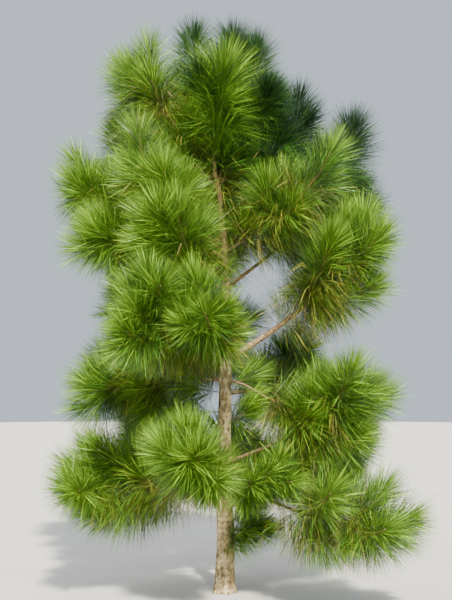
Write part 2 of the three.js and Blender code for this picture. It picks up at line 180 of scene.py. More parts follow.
# Needles, in pairs. "At tip" and "at base" say how they are on a shoot's youngest and oldest part, and each
# range is one of factors.
FASCICLES_PER_METRE = 1280
TIP_FASCICLES = 38
TIP_ZONE = 0.03
NEEDLE_ROOT = 0.7 * TIP_RADIUS
NEEDLE_CLEAR = 0.002
NEEDLE = 0.35
NEEDLE_SPREAD = 0.14
NEEDLE_AT_TIP = 0.74
NEEDLE_WIDTH = (0.0017, 0.0034)
PAIR_OPENING = 5
OPENING_RANGE = (0.3, 1.6)
OLD_AFTER = 0.42
FORWARD_AT_TIP = 26
FORWARD_AT_BASE = 64
FORWARD_POWER = 0.7
FORWARD_SPREAD = 15
SAG_AT_TIP = 0.08
SAG_AT_BASE = 0.42
SAG_RANGE = (0.6, 1.4)
UPRIGHT_SAG = 0.35
BEND_SAGS = (0.25, 0.75)
HANGING_AFTER = 0.6
HANGING_SHARE = 0.35
HANGING_SAG = 1.5
HANGING_OLIVE = 0.6
GOLDEN_ANGLE = 137.508
ROUND_SPREAD = 24
SPRAY_LONG = 0.022
SPRAY_SECTORS = 8
SPRAY_SPREAD = 0.7
MOST_NEEDLES = 98000
BOX_SPACE = 0.035

# Brushes that stand out: how many times as dense, how long their needles are, how fast these age, and how
# many times as wide they stand
STRONG = {
    "leader": (2.6, 1.3, 0.5, 1.42), "low_stub_right": (2.2, 0.9, 0.8, 1), "top_right": (1.4, 1, 0.8, 1),
    "mid_front": (1, 0.84, 1, 1), "mid_front_left": (1, 0.92, 1, 1), "low_front_left": (1, 0.9, 1, 1),
    "low_front_right": (0.75, 0.7, 1, 1), "big_right": (1.45, 1, 1, 1), "lower_right": (1.35, 1, 0.85, 1),
    "far_right": (2.1, 1.12, 0.8, 1), "top_back_left": (1.8, 1, 1, 1), "top_back": (1.8, 1, 1, 1),
    "top_back_right": (1.7, 1, 1, 1),
}

# Looks of needles: colour and the record's slot. 'dark' is painted shade alone; 'deep' is the older needles'
# own darker green and also painted shade, and 'lime' and 'bright' the young needles' own paler greens and
# also painted sunlight, as DEALT deals them by how lit a brush is
NEEDLE_LOOKS = {
    "lime": ((0.2, 0.365, 0.028), "needles_sunlit"),
    "bright": ((0.125, 0.265, 0.02), "needles_sunlit"),
    "green": ((0.07, 0.18, 0.017), "needles_green"),
    "deep": ((0.032, 0.1, 0.015), "needles_shaded"),
    "dark": ((0.012, 0.044, 0.014), "needles_shaded"),
    "olive": ((0.19, 0.205, 0.028), "needles_green"),
    "dead": ((0.3, 0.2, 0.09), "needles_green"),
}

# Which look is dealt up to which age, from the tip down, for each kind of brush. Young needles are paler and
# old ones olive by their own colour; besides, the kinds are lit and shaded copies of one another: 'sunlit'
# is dealt paler looks as painted sunlight, and 'dim' and 'shaded' darker ones as painted shade
DEALT = {
    "sunlit": ((0.12, "lime"), (0.42, "bright"), (0.85, "green"), (0.97, "deep"), (9, "olive")),
    "green": ((0.02, "lime"), (0.25, "bright"), (0.7, "green"), (0.98, "deep"), (9, "olive")),
    "dim": ((0.12, "dark"), (0.5, "deep"), (9, "green")),
    "shaded": ((0.45, "dark"), (0.8, "deep"), (9, "green")),
    "old": ((0.25, "bright"), (0.95, "green"), (1.1, "deep"), (9, "olive")),
}
DEAD_SHARE = 0.01

# What a needle's colour is multiplied by: by patches of the tree, from needle to needle, and from its base
# to its tip. From needle to needle the tone runs from much darker to painted highlights, pale and whitish,
# on the palest needles.
NEEDLE_PATCHES = (0.74, 1.22)
NEEDLE_TONES_AND_HIGHLIGHTS = (
    (0, (0.14, 0.18, 0.2)), (0.5, (0.58, 0.63, 0.6)), (0.8, (1.2, 1.18, 1)), (1, (2.8, 2.55, 2.7)),
)
# From base to tip: browner at the sheath, darker just above it, and paler at the tip as a painted highlight
NEEDLE_ALONG_AND_TIP_HIGHLIGHT = (
    (0, (1.3, 0.95, 0.8)), (0.12, (0.62, 0.62, 0.62)), (0.5, (0.95, 0.95, 0.95)), (1, (1.2, 1.18, 1.1)),
)

# Cells of bark: how near a cell's middle comes to its border, how wide the border is, and how this sways
CELL_MARGIN = 0.08
BORDER_WIDTH = 0.7
BORDER_SWAY = 0.35
SWAYS_ROUND = 3
SWAYS_ALONG = 1.7

# Bark of the trunk: plates where it is old, with smaller scales on them and, higher up, scales alone. The
# level is the relief that lies on the plain radius.
TRUNK_COLUMNS = 84
TRUNK_STEP = 0.0062
PLATE_WIDTH = 0.017
PLATE_HEIGHT = 0.042
SCALES_ACROSS_PLATE = 2.4
SCALES_ALONG_PLATE = 3
PLATE_SHARE = 0.75
OLD_BARK_UP_TO = 0.3
OLD_BARK_FADE = 0.45
FISSURE = 0.0036
FISSURE_AT_TOP = 0.0016
TRUNK_LEVEL = 0.75
FLAKE = 0.0012
FLAKE_AT_TOP = 0.5
FLAKES_ROUND = 40
FLAKE_LONG = 0.009
KNOT = 0.2
KNOT_REACH = 0.034
KNOT_LIFT = 0.4

# Bark of the boughs and twigs
BOUGH_COLUMNS = 14
BOUGH_STEP = 0.0075
BOUGH_SCALE_WIDTH = 0.011
BOUGH_SCALE_HEIGHT = 0.02
BOUGH_RELIEF = 0.0013
BOUGH_LEVEL = 0.6
LUMP = 0.05
LUMPS_ROUND = 4
LUMP_LONG = 0.05
TWIG_COLUMNS = 5
TWIG_STEP = 0.028
TWIG_RELIEF = 0.13

# Buds: their size by the kind of shoot, and their outline from near the foot to near the point
BUD_SIZES = {"stem": 1, "side": 0.8, "fine": 0.6, "sprig": 0.5, "old": 0}
BUD_RADIUS = 0.0065
BUD_LONG = 0.032
BUD_SIDES = 6
BUD_RINGS = 5
BUD_SPAN = (0.02, 0.985)
BUD_LOW_BULGE = 0.75
BUD_FULLNESS = 0.8
BUD_SCALE = 0.16

# Colours of the trunk's bark: its streaks and patches where it is old, its own where it is young, and what
# darkens the fissures; then the heights between which the old bark turns into the young
STREAK_COLOURS = (
    (0.34, (0.24, 0.175, 0.095)), (0.45, (0.5, 0.4, 0.215)),
    (0.54, (0.71, 0.6, 0.345)), (0.68, (0.94, 0.86, 0.545)),
)
TRUNK_PATCHES = ((0.36, (0.8, 0.76, 0.72)), (0.66, (1.12, 1.04, 0.98)))
YOUNG_COLOURS = ((0.35, (0.2, 0.12, 0.05)), (0.65, (0.46, 0.31, 0.15)))
FISSURE_SHADE = ((0.05, (0.5, 0.46, 0.42)), (0.6, (1, 1, 1)))
YOUNG_BARK = (1.9, 3.1)

# Stage, light and camera
EYE = (0.012, -6.5, 1.5)
TILT = 5.57
PICTURE = (452, 600)
FOCAL_PIXELS = 869
SENSOR = 36
FLOOR_RADIUS = 30
FLOOR_SIDES = 96
SKY_COLOUR = (0.72, 0.8, 0.9)
SKY_STRENGTH = 0.9
# Suns: azimuth and elevation of the place that each shines from, strength, angular size and colour
SUNS = {
    "key": (284, 47, 11, 3, (1, 0.95, 0.84)),
    "fill": (215, 35, 0.9, 40, (0.95, 0.98, 1)),
    "back": (95, 40, 2.2, 50, (0.95, 0.98, 1)),
}

# A mix node's inputs for colours, which are its factor and the two colours, and its output for colours
MIX_INPUTS = (0, 6, 7)
MIX_OUTPUT = 2

# The draws at random are numbers of 32 bits, as the source's are
MASK = 0xFFFFFFFF


def mix(a, b, share):
    return a + (b - a) * share


def smooth(share):
    share = np.clip(share, 0, 1)
    return share * share * (3 - 2 * share)


def seeded(seed):
    """The source's generator, so that the same shoots grow."""
    state = seed & MASK

    def draw():
        nonlocal state
        state = (state + 0x6D2B79F5) & MASK
        t = state
        t = ((t ^ (t >> 15)) * (t | 1)) & MASK
        t ^= (t + (t ^ (t >> 7)) * (t | 61)) & MASK
        return (t ^ (t >> 14)) / 2**32

    return draw


def either_side(draw):
    return 2 * draw() - 1


# Skeleton
def trunk_axis(z):
    z = np.asarray(z, float)
    above = np.clip(np.searchsorted(SWAY[:, 0], z, side="right"), 1, len(SWAY) - 1)
    low, high = SWAY[above - 1], SWAY[above]
    share = smooth((z - low[..., 0]) / (high[..., 0] - low[..., 0]))
    return np.stack([mix(low[..., 1], high[..., 1], share), mix(low[..., 2], high[..., 2], share), z], -1)


def trunk_radius(z, angle=0.0):
    stem = TRUNK_RADIUS * (1 - z / TAPER_HEIGHT) ** TAPER_POWER
    foot = np.exp(-z / FLARE_HEIGHT)
    return (stem + FLARE * foot) * (1 + ROOT_LOBE_DEPTH * foot * np.cos(ROOT_LOBES * angle))


def near_trunk(points, space):
    """True where a point is in the trunk, or nearer to it than the space."""
    z = np.clip(points[..., 2], 0, TRUNK_TOP)
    return np.linalg.norm(points - trunk_axis(z), axis=-1) < trunk_radius(z) + space


def unit(vectors):
    return vectors / np.linalg.norm(vectors, axis=-1, keepdims=True)


def between(u, v, angle):
    """Unit vectors at an angle between u and v, which are square to each other."""
    angle = np.asarray(angle)[..., None]
    return u * np.cos(angle) + v * np.sin(angle)


class GrowthAxis:
    """The axis of a limb or shoot: its azimuth turns evenly, and it goes from rise to lift with a dip."""

    def __init__(self, start, az, turn, rise, dip, lift, long):
        self.az, self.turn, self.rise, self.dip, self.lift, self.long = az, turn, rise, dip, lift, long
        steps = self.direction((np.arange(AXIS_STEPS) + 0.5) / AXIS_STEPS) * long / AXIS_STEPS
        self.points = np.vstack([start, start + np.cumsum(steps, 0)])

    def azimuth(self, t):
        return np.radians(self.az + self.turn * t)

    def direction(self, t):
        elevation = np.radians(mix(self.rise, self.lift, t * t) - self.dip * np.sin(np.pi * t))
        a = self.azimuth(t)
        across = np.cos(elevation)
        return np.stack([np.cos(a) * across, np.sin(a) * across, np.sin(elevation)], -1)

    def point(self, t):
        place = np.asarray(t) * AXIS_STEPS
        i = np.clip(place.astype(int), 0, AXIS_STEPS - 1)
        return mix(self.points[i], self.points[i + 1], (place - i)[..., None])

    def sides(self, t):
        a = self.azimuth(t)
        level = np.stack([-np.sin(a), np.cos(a), np.zeros_like(a)], -1)
        return level, np.cross(self.direction(t), level)

    def line(self, start, end):
        return self.point(np.linspace(start, end, LINE_POINTS + 1))


class Shoot:
    """A needled shoot of one bough, bare up to bare_to."""

    def __init__(self, bough, axis, kind, start, bare_to, radius):
        self.bough, self.axis, self.kind = bough, axis, kind
        self.start, self.bare_to, self.radius = start, bare_to, radius
        self.line = axis.line(bare_to, 1)


def side_axis(axis, t, roll, branch, lift, bend, long):
    """The axis of a shoot that leaves another at t."""
    u, v = axis.sides(t)
    start = between(axis.direction(t), between(u, v, np.radians(roll)), np.radians(branch))
    rise = math.degrees(math.asin(start[2]))
    az = math.degrees(math.atan2(start[1], start[0]))
    return GrowthAxis(axis.point(t), az, 0, rise, 0, mix(rise, lift, bend), long)


def grow_sides(bough, draw):
    """The side shoots of one bough in their whorls, whether or not they have room."""
    shoots = []
    for whorl in range(bough["whorls"]):
        share = FIRST_WHORL + WHORL_STEP * whorl
        t = np.float64(mix(bough["bare"], 1, share))
        for i in range(bough["each"]):
            even = bough["roll"] + WHORL_TURN * whorl + 360 * i / bough["each"]
            roll = even + ROLL_JITTER * either_side(draw)
            branch = BRANCH_ANGLE + BRANCH_JITTER * either_side(draw)
            long = SIDE_LONG * (1 + SIDE_LONG_SPREAD * either_side(draw)) * (1 - SIDE_SHORTEN * share)
            axis = side_axis(bough["axis"], t, roll, branch, SIDE_LIFT, SIDE_BEND, long)
            shoots.append(Shoot(bough, axis, "side", 0, 0, SHOOT_RADIUS))
    return shoots


def distances(points, line):
    """The distance of each point to a line of points."""
    start, way = line[:-1], np.diff(line, axis=0)
    to = points[:, None] - start
    share = np.clip((to * way).sum(-1) / (way * way).sum(-1), 0, 1)
    return np.linalg.norm(to - share[..., None] * way, axis=-1).min(1)


def has_room(shoot, limbs, shoots):
    """True where a side shoot keeps clear of the trunk, of other boughs' limbs and of their shoots."""
    if near_trunk(shoot.line, TWIG_CLEAR).any():
        return False
    own = shoot.bough["name"]
    lines = limbs + [(other.bough["name"], other.line, other.radius) for other in shoots]
    return not any(
        name != own and (distances(shoot.line, line) < radius + TWIG_CLEAR).any()
        for name, line, radius in lines
    )


def grow_tree():
    """Boughs with their stems first, and then the side shoots that still have room."""
    boughs = [dict(zip(BOUGH_FIELDS, row)) for row in [*LIMBED, *STEMMED, LEADER]]
    stems, limbs = [], []
    for index, bough in enumerate(boughs):
        bough["limbed"] = index < len(LIMBED)
        shape = [bough[field] for field in ("az", "turn", "rise", "dip", "lift", "long")]
        bough["axis"] = GrowthAxis(trunk_axis(bough["z"]), *shape)
        gap = GAP / bough["long"]
        start = bough["bare"] + gap if bough["limbed"] else gap
        radius = bough["radius"] * (LIMB_END_SHARE if bough["limbed"] else 1)
        stems.append(Shoot(bough, bough["axis"], "stem", start, bough["bare"], radius))
        if bough["bare"] > 0:
            limbs.append((bough["name"], bough["axis"].line(0, bough["bare"]), bough["radius"]))
    shoots = list(stems)
    for index, bough in enumerate(boughs):
        for shoot in grow_sides(bough, seeded(SEED + index)):
            if has_room(shoot, limbs, shoots):
                shoots.append(shoot)
    return boughs, shoots


def grow_fine_twigs(boughs, shoots):
    """Short twigs on every limb and shoot, one turn of the golden angle after another, and the sprigs."""
    draw = seeded(SEED - 1)
    twigs = []
    roll = 0
    for bough in boughs:
        if bough["name"] in BARE_LIMBS:
            continue
        carriers = [(bough["axis"], bough["bare"] * share) for share in FINE_SHARES["limb"]]
        own = [shoot for shoot in shoots if shoot.bough is bough]
        for shoot in own:
            for share in FINE_SHARES[shoot.kind]:
                place = share + FINE_JITTER * either_side(draw)
                carriers.append((shoot.axis, mix(shoot.bare_to, 1, place)))
        for axis, t in carriers:
            roll += GOLDEN_ANGLE
            long = FINE_LONG * (1 + FINE_LONG_SPREAD * either_side(draw))
            fine = side_axis(axis, np.float64(t), roll, FINE_BRANCH, FINE_LIFT, FINE_BEND, long)
            twigs.append(Shoot(bough, fine, "fine", 0, 0, FINE_RADIUS))
    named = {bough["name"]: bough for bough in boughs}
    for mass, carrier, place, az, rise, lift, long in SPRIGS:
        foot = named[carrier]["axis"].point(np.float64(place)) if carrier else trunk_axis(place)
        sprig = GrowthAxis(foot, az, 0, rise, 0, lift, long)
        twigs.append(Shoot(named[mass], sprig, "sprig", 0, SPRIG_BARE, FINE_RADIUS))
    return [twig for twig in twigs if twig.kind == "sprig" or not near_trunk(twig.line, FINE_CLEAR).any()]


# Meshes
def add_mesh(name, vertices, corners, sizes, **values):
    """A mesh object from arrays of vertices, face corners and corners per face, with named vertex values."""
    mesh = bpy.data.meshes.new(name)
    mesh.vertices.add(len(vertices))
    mesh.vertices.foreach_set("co", np.ascontiguousarray(vertices, np.float32).ravel())
    mesh.loops.add(len(corners))
    mesh.loops.foreach_set("vertex_index", np.ascontiguousarray(corners, np.int32))
    mesh.polygons.add(len(sizes))
    mesh.polygons.foreach_set("loop_start", np.concatenate([[0], np.cumsum(sizes)[:-1]]).astype(np.int32))
    mesh.polygons.foreach_set("use_smooth", np.ones(len(sizes), bool))
    for key, value in values.items():
        mesh.attributes.new(key, "FLOAT", "POINT").data.foreach_set("value", value.astype(np.float32))
    mesh.update(calc_edges=True)
    piece = bpy.data.objects.new(name, mesh)
    bpy.context.scene.collection.objects.link(piece)
    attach(piece, "root")
    return piece


def skin(rings):
    """Vertices and quads over rings of points, shaped (rings, columns, 3), and triangles over both ends."""
    count, columns = rings.shape[:2]
    k, j = np.meshgrid(np.arange(count - 1), np.arange(columns), indexing="ij")
    low = k * columns + j
    next_low = k * columns + (j + 1) % columns
    quads = np.stack([low, next_low, next_low + columns, low + columns], -1).reshape(-1, 4)
    ends = np.stack([rings[0].mean(0), rings[-1].mean(0)])
    j = np.arange(columns)
    first = count * columns
    last_ring = (count - 1) * columns
    under = np.stack([np.full(columns, first), (j + 1) % columns, j], -1)
    over = np.stack([np.full(columns, first + 1), last_ring + j, last_ring + (j + 1) % columns], -1)
    return np.vstack([rings.reshape(-1, 3), ends]), quads, np.vstack([under, over])


class Skins:
    """Several skins joined in one mesh, each vertex with its value of the relief."""

    def __init__(self):
        self.vertices, self.quads, self.triangles, self.values = [], [], [], []
        self.count = 0

    def add(self, rings, value):
        vertices, quads, triangles = skin(rings)
        self.vertices.append(vertices)
        self.quads.append(quads + self.count)
        self.triangles.append(triangles + self.count)
        self.values.append(np.concatenate([value.ravel(), value[0, :1], value[-1, :1]]))
        self.count += len(vertices)

    def build(self, name):
        quads, triangles = np.vstack(self.quads), np.vstack(self.triangles)
        corners = np.concatenate([quads.ravel(), triangles.ravel()])
        sizes = np.concatenate([np.full(len(quads), 4), np.full(len(triangles), 3)])
        return add_mesh(name, np.vstack(self.vertices), corners, sizes, relief=np.concatenate(self.values))


# Bark relief
def cell_borders(u, v, columns, rng):
    """How far each place is from the border between two cells, in cells; u repeats after a whole turn."""
    rows = int(v.max()) + 4
    jitter = rng.uniform(CELL_MARGIN, 1 - CELL_MARGIN, (rows, columns, 2))
    iu, iv = np.floor(u).astype(int), np.floor(v).astype(int)
    nearest = np.full(u.shape, np.inf)
    second = nearest.copy()
    for di in (-1, 0, 1):
        for dj in (-1, 0, 1):
            spot = jitter[(iv + dj + 1) % rows, (iu + di) % columns]
            apart = np.hypot(iu + di + spot[..., 0] - u, iv + dj + spot[..., 1] - v)
            second = np.minimum(second, np.maximum(nearest, apart))
            nearest = np.minimum(nearest, apart)
    return second - nearest


def waves(u, v, columns, rng):
    """Smooth random values from -1 to 1; u repeats after a whole turn."""
    rows = int(v.max()) + 3
    values = rng.uniform(-1, 1, (rows, columns))
    iu, iv = np.floor(u).astype(int), np.floor(v).astype(int)
    su, sv = smooth(u - iu), smooth(v - iv)
    a, b = values[iv % rows, iu % columns], values[iv % rows, (iu + 1) % columns]
    c, d = values[(iv + 1) % rows, iu % columns], values[(iv + 1) % rows, (iu + 1) % columns]
    return mix(mix(a, b, su), mix(c, d, su), sv)


def bark_cells(turn, along, width, height, radius, rng):
    """Plates of a given width and height over a limb, 0 in a fissure and 1 on a plate."""
    columns = max(3, round(2 * math.pi * radius / width))
    v = along / height
    sway = BORDER_SWAY * waves(turn * SWAYS_ROUND, v * SWAYS_ALONG, SWAYS_ROUND, rng)
    return smooth(cell_borders(turn * columns + sway, v, columns, rng) / BORDER_WIDTH)


def build_trunk(boughs):
    """The trunk with its relief, and a swelling around the foot of each bough."""
    rng = np.random.default_rng(SEED)
    heights = np.linspace(0, TRUNK_TOP, round(TRUNK_TOP / TRUNK_STEP) + 1)
    z, turn = np.meshgrid(heights, np.arange(TRUNK_COLUMNS) / TRUNK_COLUMNS, indexing="ij")
    angle = 2 * math.pi * turn
    up = z / TRUNK_TOP
    radius = trunk_radius(z, angle)
    for bough in boughs:
        off = (angle - math.radians(bough["az"]) + math.pi) % (2 * math.pi) - math.pi
        reach = KNOT_REACH * np.sqrt(radius / TRUNK_RADIUS)
        lift = KNOT_LIFT * radius * math.tan(math.radians(bough["rise"]))
        away = np.hypot(off * radius, z - bough["z"] - lift)
        radius = radius * (1 + KNOT * np.exp(-((away / reach) ** 2)))
    plates = bark_cells(turn, z, PLATE_WIDTH, PLATE_HEIGHT, TRUNK_RADIUS, rng)
    scale_width, scale_height = PLATE_WIDTH / SCALES_ACROSS_PLATE, PLATE_HEIGHT / SCALES_ALONG_PLATE
    scales = bark_cells(turn, z, scale_width, scale_height, TRUNK_RADIUS, rng)
    flakes = waves(turn * FLAKES_ROUND, z / FLAKE_LONG, FLAKES_ROUND, rng)
    old = 1 - smooth((up - OLD_BARK_UP_TO) / OLD_BARK_FADE)
    relief = mix(scales, PLATE_SHARE * plates + (1 - PLATE_SHARE) * scales, old)
    depth = mix(FISSURE_AT_TOP, FISSURE, old)
    radius = radius + depth * (relief - TRUNK_LEVEL) + FLAKE * flakes * mix(FLAKE_AT_TOP, 1, old)
    way = np.stack([np.cos(angle), np.sin(angle), np.zeros_like(angle)], -1)
    rings = trunk_axis(z) + radius[..., None] * way
    skins = Skins()
    skins.add(rings, relief)
    piece = skins.build("bark_trunk")
    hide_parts("trunk")
    return piece


def limb_rings(axis, places, radius, columns):
    """Rings of points around an axis, one at each place along it."""
    turn = np.arange(columns) / columns
    u, v = axis.sides(places)
    way = between(u[:, None], v[:, None], 2 * math.pi * turn[None])
    return axis.point(places)[:, None] + radius[..., None] * way


def build_bough(bough):
    """One bare limb with its collar at the trunk and its scaly relief, seeded by its height."""
    rng = np.random.default_rng(SEED + round(1000 * bough["z"]))
    length = bough["long"] * bough["bare"]
    s = np.linspace(0, length, round(length / BOUGH_STEP) + 1)
    along, turn = np.meshgrid(s, np.arange(BOUGH_COLUMNS) / BOUGH_COLUMNS, indexing="ij")
    collar = COLLAR * np.exp(-along / COLLAR_LENGTH)
    radius = bough["radius"] * (mix(1, LIMB_END_SHARE, along / length) + collar)
    relief = bark_cells(turn, along, BOUGH_SCALE_WIDTH, BOUGH_SCALE_HEIGHT, bough["radius"], rng)
    lumps = waves(turn * LUMPS_ROUND, along / LUMP_LONG, LUMPS_ROUND, rng)
    radius = radius * (1 + LUMP * lumps) + BOUGH_RELIEF * (relief - BOUGH_LEVEL)
    skins = Skins()
    skins.add(limb_rings(bough["axis"], s / bough["long"], radius, BOUGH_COLUMNS), relief)
    piece = skins.build(f"bark_bough_{bough['name']}")
    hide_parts(f"bough_{bough['name']}")
    return piece


def build_twigs(shoots, foliage):
    """Every stem, side shoot, finer twig and sprig in one piece."""
    rng = np.random.default_rng(SEED + 1)
    skins = Skins()
    for shoot in shoots:
        length = (1 - shoot.start) * shoot.axis.long
        places = np.linspace(shoot.start, 1, max(3, round(length / TWIG_STEP)) + 1)
        share = (places - shoot.start) / (1 - shoot.start)
        relief = rng.uniform(0, 1, (len(places), TWIG_COLUMNS))
        tip = TIP_RADIUS * BUD_SIZES[shoot.kind]
        radius = mix(shoot.radius, tip, share)[:, None] * (1 + TWIG_RELIEF * (2 * relief - 1))
        skins.add(limb_rings(shoot.axis, places, radius, TWIG_COLUMNS), relief)
    piece = skins.build("twigs")
    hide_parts(*foliage)
    return piece


def build_buds(shoots, foliage):
    """A pointed bud of overlapping scales at the tip of every shoot."""
    skins = Skins()
    tip = np.float64(1)
    share = np.linspace(*BUD_SPAN, BUD_RINGS)
    outline = np.sin(np.pi * share**BUD_LOW_BULGE) ** BUD_FULLNESS
    ring, column = np.meshgrid(np.arange(BUD_RINGS), np.arange(BUD_SIDES), indexing="ij")
    turn = 2 * math.pi * (column + 0.5 * (ring % 2)) / BUD_SIDES
    scale = (ring + column) % 2
    for shoot in shoots:
        size = BUD_SIZES[shoot.kind]
        radius = size * BUD_RADIUS * outline[:, None] * (1 + BUD_SCALE * scale)
        way = shoot.axis.direction(tip)
        u, v = shoot.axis.sides(tip)
        centre = shoot.axis.point(tip) + (share * size * BUD_LONG)[:, None, None] * way
        skins.add(centre + radius[..., None] * between(u, v, turn), scale.astype(float))
    piece = skins.build("buds")
    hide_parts(*foliage)
    return piece


# Needles
def needle_curves(base, way, length, sag):
    """Points along each needle: its base, its bend and its tip. It sags more towards the tip."""
    points = [base]
    for share in BEND_SAGS:
        heading = way.copy()
        heading[:, 2] -= sag * share
        points.append(points[-1] + unit(heading) * (length / 2)[:, None])
    return np.stack(points, 1)


def dealt_looks(kind, age):
    """The name of the look for each age, in one kind of brush."""
    limits = [limit for limit, _ in DEALT[kind]]
    names = np.array([name for _, name in DEALT[kind]])
    return names[np.searchsorted(limits, age)]


def trunk_top_shoot(leader):
    """The top of the trunk, which still holds needles, as a shoot."""
    foot, top = trunk_axis(OLD_NEEDLES_FROM), trunk_axis(TRUNK_TOP)
    way = top - foot
    rise = math.degrees(math.asin(way[2] / np.linalg.norm(way)))
    az = math.degrees(math.atan2(way[1], way[0]))
    axis = GrowthAxis(foot, az, 0, rise, 0, rise, np.linalg.norm(way))
    return Shoot(leader, axis, "old", 0, 0, 0)


def shoot_needles(shoot, rng):
    """The needles of one shoot: their curves, the look that each is dealt, and how pale each one is, up to
    painted highlights.
    """
    axis = shoot.axis
    start = shoot.bare_to
    if shoot.kind == "stem":
        start *= 1 - BARE_LIMBS.get(shoot.bough["name"], NEEDLED_LIMB)
    span = (1 - start) * axis.long
    denser, longer, ageing, wider = STRONG.get(shoot.bough["name"], (1, 1, 1, 1))
    if shoot.kind == "old":
        denser, ageing = OLD_NEEDLES_DENSITY, 1
    even = round(FASCICLES_PER_METRE * denser * span)
    tip = round(TIP_FASCICLES * denser * BUD_SIZES[shoot.kind])
    count = even + tip
    evenly = (np.arange(even) + rng.random(even)) * span / even
    s = np.concatenate([evenly, span - TIP_ZONE * rng.random(tip)])
    t = start + s / axis.long
    turn = np.radians(GOLDEN_ANGLE * np.arange(count) + ROUND_SPREAD * rng.standard_normal(count))
    age = np.clip((span - s) / OLD_AFTER, 0, 1)
    forward = wider * mix(FORWARD_AT_TIP, FORWARD_AT_BASE, age**FORWARD_POWER)
    forward = forward + FORWARD_SPREAD * rng.standard_normal(count)
    forward[even:] *= np.sqrt(rng.random(tip))
    u, v = axis.sides(t)
    out = between(u, v, turn)
    way = between(axis.direction(t), out, np.radians(forward))
    base = axis.point(t) + out * NEEDLE_ROOT
    length = longer * NEEDLE * mix(NEEDLE_AT_TIP, 1, age) * (1 + NEEDLE_SPREAD * rng.uniform(-1, 1, count))
    sag = mix(SAG_AT_TIP, SAG_AT_BASE, age) * (1 - (1 - UPRIGHT_SAG) * np.clip(way[:, 2], 0, 1))
    sag *= rng.uniform(*SAG_RANGE, count)
    sector = (turn * SPRAY_SECTORS / (2 * math.pi)).astype(int) % SPRAY_SECTORS
    spray = (s / SPRAY_LONG).astype(int) * SPRAY_SECTORS + sector
    luck = rng.random(spray.max() + 1)[spray]
    kind = "old" if shoot.kind == "old" else shoot.bough["look"]
    look = dealt_looks(kind, ageing * age + SPRAY_SPREAD * (luck - 0.5))
    old = ageing * age > HANGING_AFTER
    dead = old & (rng.random(count) < DEAD_SHARE)
    look = np.where(dead, "dead", look)
    hanging = dead | (old & (rng.random(count) < HANGING_SHARE))
    if kind not in ("shaded", "dim"):
        look = np.where(hanging & ~dead & (rng.random(count) < HANGING_OLIVE), "olive", look)
    sag = np.where(hanging, HANGING_SAG, sag)
    curves = []
    for side in (-1, 1):
        opening = math.radians(PAIR_OPENING) * side * rng.uniform(*OPENING_RANGE, count)
        across = unit(np.cross(way, rng.standard_normal((count, 3))))
        curves.append(needle_curves(base, unit(way + across * opening[:, None]), length, sag))
    curves = np.concatenate(curves)
    low, high = (np.array(corner) for corner in CAD_BOX)
    in_box = ((curves > low - BOX_SPACE) & (curves < high + BOX_SPACE)).all((1, 2))
    above_ground = curves[..., 2].min(1) > 0
    clear = in_box & above_ground & ~near_trunk(curves[:, 1:], NEEDLE_CLEAR).any(1)
    return curves[clear], np.tile(look, 2)[clear], rng.random(2 * count)[clear]


def needle_mesh(name, curves, tone, rng):
    """Narrow blades of two triangles each, widest at the bend, and the palest ones, painted highlights, the
    widest.
    """
    count = len(curves)
    way = unit(curves[:, -1] - curves[:, 0])
    half = unit(np.cross(way, rng.standard_normal((count, 3)))) * (0.5 * mix(*NEEDLE_WIDTH, tone))[:, None]
    vertices = np.stack([curves[:, 0], curves[:, 1] - half, curves[:, 1] + half, curves[:, 2]], 1)
    corners = (np.arange(count)[:, None] * 4 + np.array([0, 1, 2, 2, 1, 3])).ravel()
    sizes = np.full(2 * count, 3)
    along = np.tile([0, 0.5, 0.5, 1], count)
    return add_mesh(name, vertices.reshape(-1, 3), corners, sizes, along=along, tone=np.repeat(tone, 4))


def build_needles(shoots):
    """All needles, joined by look in pieces of a limited size."""
    rng = np.random.default_rng(SEED + 2)
    dealt = {look: [] for look in NEEDLE_LOOKS}
    for shoot in shoots:
        curves, looks, tones = shoot_needles(shoot, rng)
        for look in dealt:
            chosen = looks == look
            if chosen.any():
                dealt[look].append((f"foliage_{shoot.bough['name']}", curves[chosen], tones[chosen]))
    for look, groups in dealt.items():
        material = needle_material(look)
        curves = np.concatenate([group[1] for group in groups])
        tones = np.concatenate([group[2] for group in groups])
        parts = -(-len(curves) // MOST_NEEDLES)
        for part, chosen in enumerate(np.array_split(np.arange(len(curves)), parts)):
            piece = needle_mesh(f"needles_{look}_{part + 1}", curves[chosen], tones[chosen], rng)
            piece.data.materials.append(material)
            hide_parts(*{group[0] for group in groups})


